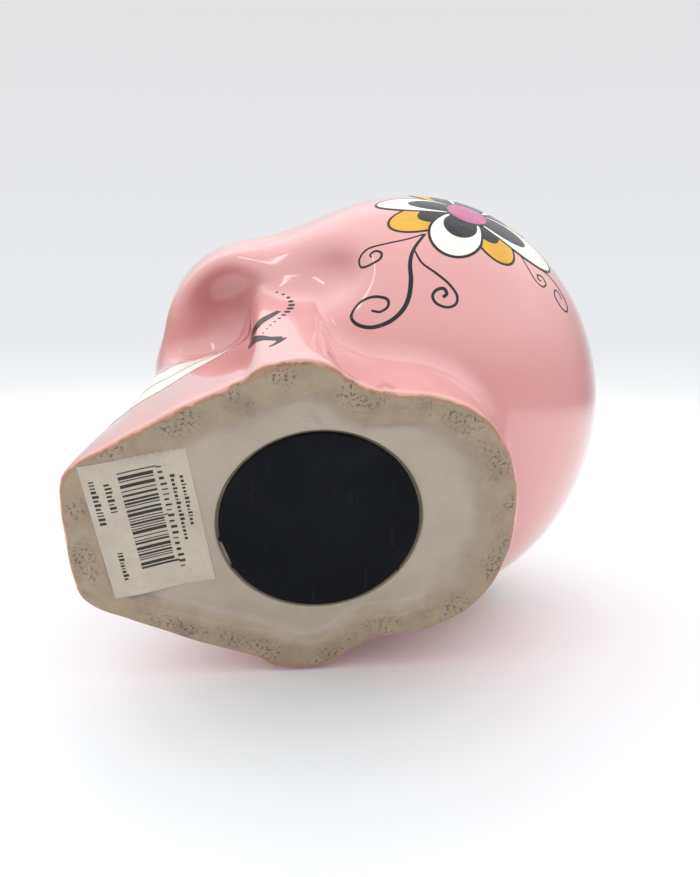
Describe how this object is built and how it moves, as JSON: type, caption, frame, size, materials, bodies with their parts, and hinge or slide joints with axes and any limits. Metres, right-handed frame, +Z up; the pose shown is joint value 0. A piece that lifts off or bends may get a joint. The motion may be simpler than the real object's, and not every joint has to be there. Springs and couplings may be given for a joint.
{
  "type": "skull money bank",
  "caption": "Hollow glazed earthenware skull money bank with a coin slot in the crown, a flat base rim and a round rubber stopper in the sunk base.",
  "frame": {"origin": "under the middle of the bounding box, on the plane of the base rim that the bank stands on", "axes": "+Z up through the crown, the face looks along -Y, +X is the skull's own left"},
  "size_m": [0.1292, 0.1523, 0.1238],
  "materials": {
    "glazed_earthenware": "glossy pink glaze, bare clay on the base",
    "black_rubber": "matte moulded",
    "label_paper": "matte printed"
  },
  "bodies": {
    "bank": {"skull_body": "glazed_earthenware", "barcode_label": "label_paper"},
    "stopper": {"rubber_stopper": "black_rubber"}
  },
  "joints": [
    {"name": "stopper_pull", "type": "slide", "parent": "bank", "child": "stopper", "axis": [0, 0, -1], "range_m": [0, 0.04]}
  ]
}
